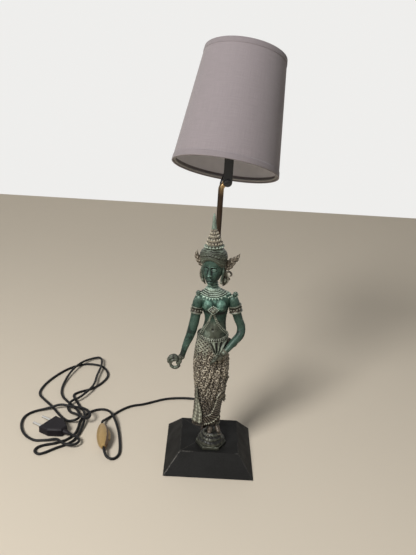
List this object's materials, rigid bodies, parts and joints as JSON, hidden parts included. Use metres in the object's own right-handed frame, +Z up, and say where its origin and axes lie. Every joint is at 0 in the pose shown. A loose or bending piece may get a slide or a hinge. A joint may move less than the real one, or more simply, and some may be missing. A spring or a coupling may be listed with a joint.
{
  "type": "figural table lamp",
  "caption": "Table lamp with a cast dancer figure on a stepped plinth, a bent rear stem, a tilting lampholder strap, a clip-on cone shade and a corded inline switch and plug.",
  "frame": {"origin": "centre of the plinth's underside, on the table that the lamp stands on", "axes": "+Z up, -Y the way the dancer faces and the viewer's side, +X to the dancer's left hand"},
  "size_m": [0.3428, 0.3109, 0.548],
  "materials": {
    "felt": "matte",
    "plinth_enamel": "satin",
    "bronze_foot": "satin",
    "skirt_bronze": "satin",
    "body_verdigris": "satin",
    "crown_bronze": "satin",
    "stem_bronze": "satin",
    "zinc_steel": "satin",
    "black_steel": "satin",
    "screw_brass": "satin",
    "lead_wire": "satin",
    "white_nylon": "satin",
    "contact_brass": "satin",
    "holder_black": "satin",
    "holder_ceramic": "satin",
    "bulb_shell": "gloss",
    "bulb_opal": "gloss",
    "clip_wire": "satin",
    "shade_cloth": "matte",
    "shade_tape": "matte",
    "shade_wire": "satin",
    "switch_gold": "satin",
    "switch_brown": "satin",
    "cord_black": "satin",
    "plug_black": "satin",
    "pin_metal": "polished"
  },
  "bodies": {
    "base": {"arm_left": "body_verdigris", "arm_right": "body_verdigris", "cord_bush": "cord_black", "cord_inlet": "cord_black", "cord_lead": "cord_black", "cord_loops": "cord_black", "cord_run": "cord_black", "crown_spire": "crown_bronze", "diadem": "crown_bronze", "ear_wing_left": "crown_bronze", "ear_wing_right": "crown_bronze", "felt_pad": "felt", "figure_bolt": "zinc_steel", "figure_washer": "zinc_steel", "head": "body_verdigris", "holder_leads": "lead_wire", "pedestal": "bronze_foot", "pivot_nut": "black_steel", "pivot_screw": "screw_brass", "pivot_washers": "black_steel", "plinth": "plinth_enamel", "plug_body": "plug_black", "plug_pins": "pin_metal", "plug_relief": "plug_black", "side_sash": "skirt_bronze", "skirt": "skirt_bronze", "stem_collar": "stem_bronze", "stem_leads": "lead_wire", "stem_nut": "zinc_steel", "stem_tube": "stem_bronze", "stem_washer": "zinc_steel", "switch_contacts": "contact_brass", "switch_lower": "switch_brown", "switch_pin": "contact_brass", "switch_screws": "contact_brass", "switch_upper": "switch_gold", "terminal_block": "white_nylon", "terminal_screws": "contact_brass", "torso": "body_verdigris"},
    "arm": {"holder_bracket": "black_steel", "holder_nipple": "zinc_steel", "nipple_nut": "zinc_steel", "holder_cap": "holder_black", "holder_insert": "holder_ceramic", "holder_contact": "contact_brass", "holder_sleeve": "holder_black", "bulb_cap": "bulb_shell", "bulb_glass": "bulb_opal"},
    "clip": {"bulb_clip": "clip_wire"},
    "shade": {"shade_cover": "shade_cloth", "shade_trim_bottom": "shade_tape", "shade_trim_top": "shade_tape", "shade_bottom_ring": "shade_wire", "shade_top_ring": "shade_wire", "shade_bar": "shade_wire"},
    "rocker": {"switch_rocker": "switch_gold"}
  },
  "joints": [
    {"name": "arm_tilt", "type": "hinge", "parent": "base", "child": "arm", "pos_m": [0.001, 0.0032, 0.3833], "axis": [0, 1, 0], "range_deg": [-50, 50], "deforming": ["holder_leads"]},
    {"name": "clip_turn", "type": "hinge", "parent": "arm", "child": "clip", "pos_m": [0.00773, 0.03396, 0.47739], "axis": [0.1027, 0.2865, 0.9526], "continuous": true},
    {"name": "shade_tilt", "type": "hinge", "parent": "clip", "child": "shade", "pos_m": [0.0105, 0.0417, 0.50313], "axis": [-0.9662, 0.2563, 0.0271], "range_deg": [-20, 14]},
    {"name": "rocker_tip", "type": "hinge", "parent": "base", "child": "rocker", "pos_m": [-0.1449, 0.0118, 0.00984], "axis": [-0.6022, -0.128, 0.788], "range_deg": [-4, 4]}
  ]
}
